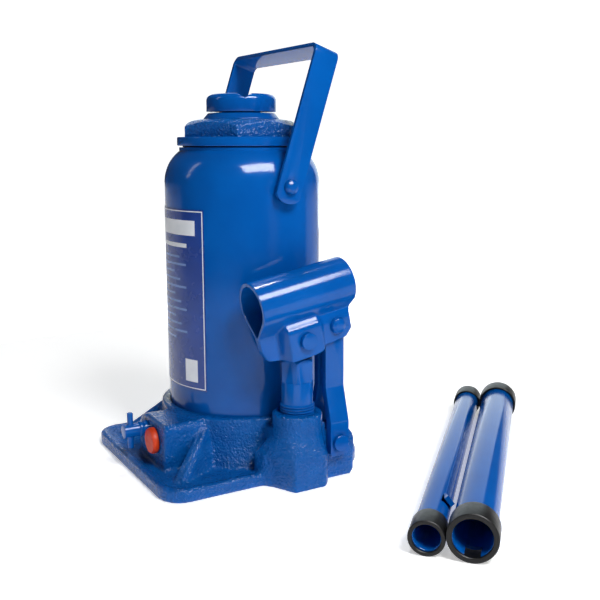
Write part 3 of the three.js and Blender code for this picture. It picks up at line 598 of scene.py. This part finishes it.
def link_arm(side):
    """A strap that steps inward above the lug. foot and head are its inner face's places across the link."""
    foot, head, step = 7.3, 1.5, (12.6, 33)
    inner = [(foot, -12), (foot, step[0]), (head, step[1]), (head, LINK_LENGTH + 12)]
    outer = [(x + LINK_THICK, z) for x, z in reversed(inner)]
    path = []
    for face in (inner, outer):
        path += eased([(side * x, z) for x, z in face], 8, 8, False)
    low = eased([(-LINK_HALF, 20), (-LINK_HALF, -8), (LINK_HALF, -8), (LINK_HALF, 20)], 2.4, 5, False)
    ends = [*arc(0, LINK_LENGTH, LINK_HALF, 0, 180, 24), *low]
    arm = common(prism("Y", path, -7.5, 7.5), prism("X", ends, -20, 20))
    cut(arm, rod_x(PIN_HOLE_R, -20, 20, 0, 0), rod_x(PIN_HOLE_R, -20, 20, 0, LINK_LENGTH))
    return place(bevelled(arm, 0.7), PUMP_X, *FOOT_PIN, (LINK_LEAN, 0, 0))


for side, name in ((1, "outer"), (-1, "inner")):
    piece(link_arm(side), f"link_bar_{name}", "link", PAINT, [f"link_arm_{name}"])


# ---------------------------------------------------------------- release valve, safety plug and filler plug
def release_stem():
    """The valve screw along -Y: knob, neck and flange, the threaded part, its seal groove and the needle."""
    knob = [(0, 85), (4.1, 85), (4.1, 75.4), (4.8, 74.8), (4.8, 73.6), (4.1, 73), (4.1, 72.6), (4.8, 72.1)]
    groove = [(4.8, 57.5), (3.5, 57.5), (3.5, 55), (4.8, 55)]
    needle = [(4.8, 52.5), (2.8, 51.4), (2.8, 46), (0, 46)]
    stem = place(turned(knob + groove + needle, 48, 0.3), VALVE_X, 0, VALVE_Z, (90, 0, 0))
    return cut(stem, place(rod(2.1, 10, 40, 32), VALVE_X, CROSS_PIN_Y))


def safety_plug():
    cap = [(0, 67), (4.2, 67), (4.2, 70.3), (8, 70.3), (8, 72.4), (7.3, 74.1), (5, 74.3), (0, 73.9)]
    return place(turned(cap, 64, 0.6), SAFETY_X, 0, SAFETY_Z, (90, 0, 0))


def filler_plug():
    plug = [(0, 44), (5.2, 44), (5.2, 49.3), (8, 49.3), (8, 50.8), (7, 52), (0, 52)]
    return place(turned(plug, 48, 0.4), 0, 0, FILLER_Z, (-90, 0, 0))


piece(release_stem(), "release_stem", "release_valve", PAINT, ["release_valve_screw"])
crossbar = place(turned([(0, 15), (1.85, 15), (1.85, 37.4), (0, 37.4)], 32, 0.5), VALVE_X, CROSS_PIN_Y)
piece(crossbar, "release_pin", "release_valve", PAINT, ["release_valve_crossbar"])
piece(safety_plug(), "safety_plug", "base", ORANGE, ["safety_valve_cap"])
piece(filler_plug(), "filler_bung", "filler_plug", RUBBER, ["oil_filler_plug"])

# ---------------------------------------------------------------- carrying handle, local to its pivots
BAIL_AT, BAIL_LEAN = (0, 4.5, 175), 17.8
BAIL_HALF, BAIL_THICK, BAIL_HEIGHT, BAIL_BEND = 54.3, 2.5, 84.6, 6
STRAP_HALF, STRAP_END_R = 8, 10


def bail_loop(inset):
    half, top, r = BAIL_HALF - inset, BAIL_HEIGHT - inset, BAIL_BEND - inset
    right, left = arc(half - r, top - r, r, 0, 90, 10), arc(r - half, top - r, r, 90, 180, 10)
    return [(half, -20), *right, *left, (-half, -20)]


def bail_strap():
    strap = prism("Y", bail_loop(0) + bail_loop(BAIL_THICK)[::-1], -STRAP_HALF, STRAP_HALF)
    reach = math.degrees(math.asin(STRAP_HALF / STRAP_END_R))
    ends = [(STRAP_HALF, 90), (-STRAP_HALF, 90), *arc(0, 0, STRAP_END_R, 270 - reach, 270 + reach, 20)]
    common(strap, prism("X", ends, -70, 70))
    cut(strap, rod_x(3.9, -70, 70, 0, 0))
    return place(bevelled(strap, 0.6), *BAIL_AT, (-BAIL_LEAN, 0, 0))


def bail_rivet(side):
    shank = [(0, 47), (6, 47), (6, 51.5), (3.5, 51.5), (3.5, 54.6)]
    head = [(4.4, 54.6), (4.4, 55.4), (3.7, 56.7), (2.1, 57.5), (0, 57.8)]
    rivet = place(turned(shank + head, 48, 0.25), *BAIL_AT, (0, side * 90, 0))
    return cut(rivet, rod(TANK_R + 0.3, 150, 200, 128))


piece(bail_strap(), "bail_strap", "carrying_handle", PAINT, ["carrying_handle"])
for side, name in ((1, "right"), (-1, "left")):
    piece(bail_rivet(side), f"bail_rivet_{name}", "base", PAINT, [f"bail_stud_{name}"])

# ---------------------------------------------------------------- rating label
FILM_R, PRINT_R, PRINT_TOP_R = 48.92, 49.15, 49.19
LABEL_ANGLE = -90


def label_patch(low_angle, high_angle, z0, z1, r0, r1):
    """A piece of film on the tank between two angles and two heights, from radius r0 to r1."""
    mid, half = math.radians((low_angle + high_angle) / 2), math.radians((high_angle - low_angle) / 2) * r0
    steps = max(2, int(half / 1.2))
    rows = [(-half + 2 * half * s / steps) / r0 + mid for s in range(steps + 1)]
    points = [(r * math.cos(a), r * math.sin(a), z) for r in (r0, r1) for a in rows for z in (z0, z1)]
    n = 2 * (steps + 1)
    faces = [(2 * s, 2 * s + 1, 2 * s + 3, 2 * s + 2) for s in range(steps)]
    faces += [tuple(n + k for k in reversed(face)) for face in faces]
    edge = [2 * s for s in range(steps + 1)] + [2 * s + 1 for s in range(steps, -1, -1)]
    faces += [(a, b, b + n, a + n) for a, b in zip(edge, edge[1:] + edge[:1])]
    return mesh(points, faces)


def printed(rows):
    """One object for all the printed patches, each two angles from the label's middle and two heights."""
    patches = []
    for a, b, z0, z1 in rows:
        patch = label_patch(LABEL_ANGLE + a, LABEL_ANGLE + b, z0, z1, PRINT_R, PRINT_TOP_R)
        patches.append(patch)
    bm = bmesh.new()
    for patch in patches:
        bm.from_mesh(patch.data)
    bm.to_mesh(patches[0].data)
    bm.free()
    for patch in patches[1:]:
        bpy.data.objects.remove(patch)
    return patches[0]


film = label_patch(LABEL_ANGLE - 35.5, LABEL_ANGLE + 35.5, 51, 161.5, FILM_R, PRINT_R)
piece(film, "sticker", "base", FILM, ["rating_label"])
border = [
    (-34.6, 34.6, 160.1, 160.7), (-34.6, 34.6, 51.8, 52.4),
    (33.9, 34.6, 52.4, 160.1), (-34.6, -33.9, 52.4, 160.1),
]
blocks = [(-30, 28, 146, 155), (16, 28, 56, 70), (-30, 20, 138.5, 141)]
lines = [(-30, 12 + 8 * math.sin(2.1 * k), 132 - 4.6 * k, 133.3 - 4.6 * k) for k in range(12)]
for name, rows, look in (("sticker_print", border + blocks, PRINT), ("sticker_lines", lines, PALE_PRINT)):
    print_layer = printed(rows)
    print_layer.name = print_layer.data.name = name
    print_layer.data.materials.clear()
    print_layer.data.materials.append(look)
    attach(print_layer, "base")

# ---------------------------------------------------------------- pump handle tubes on the floor
HANDLE_YAW = 133.76
TAB_TURN = (0, 0, -130)
TUBES = {
    "large": {"at": (200.9, 20.9), "r": 11.3, "bore": 9.8, "cap": 12.9, "lip": 10, "length": 237},
    "small": {"at": (183.9, 6.2), "r": 8.2, "bore": 6.8, "cap": 9.5, "lip": 7.2, "length": 244},
}


def laid(obj, tube, flip=False):
    """From along Z to its place on the floor."""
    if flip:
        place(obj, 0, 0, tube["length"], (180, 0, 0))
    place(obj, 0, 0, 0, (0, 90, 0))
    return place(obj, *tube["at"], tube["cap"], (0, 0, HANDLE_YAW))


def sleeve(name, tube):
    """The steel tube: the large one is notched for the valve's cross pin, the small one has a stop tongue."""
    steel = ring(tube["bore"], tube["r"], 2, tube["length"] - 2, 0.3)
    if name == "large":
        return cut(steel, box(0, 20, -4, 4, 1, 12))
    window = place(box(5, 12, -3.4, 3.4, 31.1, 39.8), turn=TAB_TURN)
    tongue = place(prism("Y", [(9, 32.5), (7, 41.5), (8, 41.5), (11.4, 33.5)], -2.8, 2.8), turn=TAB_TURN)
    return join(cut(steel, window), tongue)


def boot(tube):
    lip, cap, inside, depth, wall = tube["lip"], tube["cap"], tube["r"] + 0.3, 15, 1.7
    return turned([(lip, 0), (cap, 0), (cap, depth), (inside, depth), (inside, wall), (lip, wall)], 96, 0.7)


for name, tube in TUBES.items():
    body = f"{name}_handle_tube"
    piece(laid(sleeve(name, tube), tube), f"tube_{name}", body, PAINT, [f"handle_tube_{name}"])
    for end in ("near", "far"):
        end_cap = laid(boot(tube), tube, end == "far")
        piece(end_cap, f"boot_{name}_{end}", body, BLACK, [f"{name}_tube_cap_{end}"])

# ---------------------------------------------------------------- camera
CAMERA_AT, AIM = Vector((0.4870, -0.2437, 0.2007)), Vector((0.0186, 0.0316, 0.0998))
camera = bpy.data.objects.new("camera", bpy.data.cameras.new("camera"))
camera.data.lens, camera.data.sensor_width = 50.94, 36
camera.data.clip_start, camera.data.clip_end = 0.01, 20
camera.location = CAMERA_AT
camera.rotation_euler = (AIM - CAMERA_AT).to_track_quat("-Z", "Y").to_euler()
bpy.context.scene.collection.objects.link(camera)
bpy.context.scene.camera = camera
bpy.context.scene.view_settings.view_transform = "Standard"


# ---------------------------------------------------------------- floor and backdrop
def backdrop(name, points, faces, strength, hidden_from):
    """A white sheet that glows and that the given kinds of rays pass through."""
    sheet = mesh(points, faces)
    sheet.name = name
    look = finish(name, (250, 250, 250), (249, 249, 249), (0.8, 0.9), 2)
    sheet.data.materials.append(glowing(look, strength))
    for sight in hidden_from:
        setattr(sheet, "visible_" + sight, False)
    return sheet


floor = prism("Z", arc(0, 0, 800, 0, 355, 71), -20, 0)
floor.name = "floor"
floor.data.materials.append(glowing(finish("floor", (250, 250, 250), (248, 248, 248), (0.6, 0.7), 5), 0.45))

# a white sweep that only the camera sees: flat round the object, then rising all round it
SWEEP, SPOKES = [(400, 0.4), (2600, 0.5), (3200, 500), (3200, 3000)], 72
ahead = math.degrees(math.atan2(AIM.y - CAMERA_AT.y, AIM.x - CAMERA_AT.x))
points = [(x, y, z) for r, z in SWEEP for x, y in arc(0, 0, r, ahead - 180, ahead + 180, SPOKES)]
faces = []
for k in range(len(SWEEP) - 1):
    low, high = k * (SPOKES + 1), (k + 1) * (SPOKES + 1)
    faces += [(low + i, low + i + 1, high + i + 1, high + i) for i in range(SPOKES)]
wall = backdrop("back_wall", points, faces, 1.0, ("diffuse", "glossy", "transmission", "shadow"))

# a pale strip behind the object that only its reflections show
STRIP_STEPS = 40
points = [(x, y, z) for x, y in arc(0, 0, 1500, 80, 235, STRIP_STEPS) for z in (-300, 110)]
faces = [(2 * k, 2 * k + 2, 2 * k + 3, 2 * k + 1) for k in range(STRIP_STEPS)]
horizon = backdrop("horizon", points, faces, 0.45, ("camera", "diffuse", "transmission", "shadow"))

# ---------------------------------------------------------------- light
world = bpy.context.scene.world or bpy.data.worlds.new("world")
bpy.context.scene.world = world
world.use_nodes = True
world.node_tree.nodes["Background"].inputs["Color"].default_value = (1, 1, 1, 1)
world.node_tree.nodes["Background"].inputs["Strength"].default_value = 0.06


def softbox(name, at, aim, size, power, lights=True, shines=True, tint=(1, 1, 1)):
    """A rectangular light, its size in metres. It may light things, shine in their reflections, or both."""
    light = bpy.data.objects.new(name, bpy.data.lights.new(name, "AREA"))
    light.data.shape, light.data.energy, light.data.color = "RECTANGLE", power, tint
    light.data.size, light.data.size_y = size
    light.visible_diffuse, light.visible_glossy = lights, shines
    light.location = at
    light.rotation_euler = (Vector(aim) - Vector(at)).to_track_quat("-Z", "Y").to_euler()
    bpy.context.scene.collection.objects.link(light)


softbox("key", (0.74, 0.04, 0.86), (0, 0, 0.15), (0.3, 0.3), 8.5, shines=False)
softbox("window", (0.74, 0.04, 0.90), (0, 0, 0.15), (0.80, 0.38), 30, lights=False)
softbox("left_window", (-0.35, -0.85, 0.65), (0, 0, 0.12), (0.06, 0.6), 0.9, lights=False)
softbox("overhead", (-0.25, 0.25, 1.3), (0.08, 0.02, 0), (0.18, 0.18), 5)
PALE_SKY = (0.84, 0.96, 1.0)
BACK_AT, BACK_AIM = (-0.93, 0.79, 0.50), (0.115, 0.11, 0.02)
softbox("back_window", BACK_AT, BACK_AIM, (1.25, 1.05), 5.8, lights=False, tint=PALE_SKY)
softbox("low_fill", (0.95, 0.30, 0.16), (0.07, 0.01, 0.07), (0.22, 0.34), 1.3, shines=False)
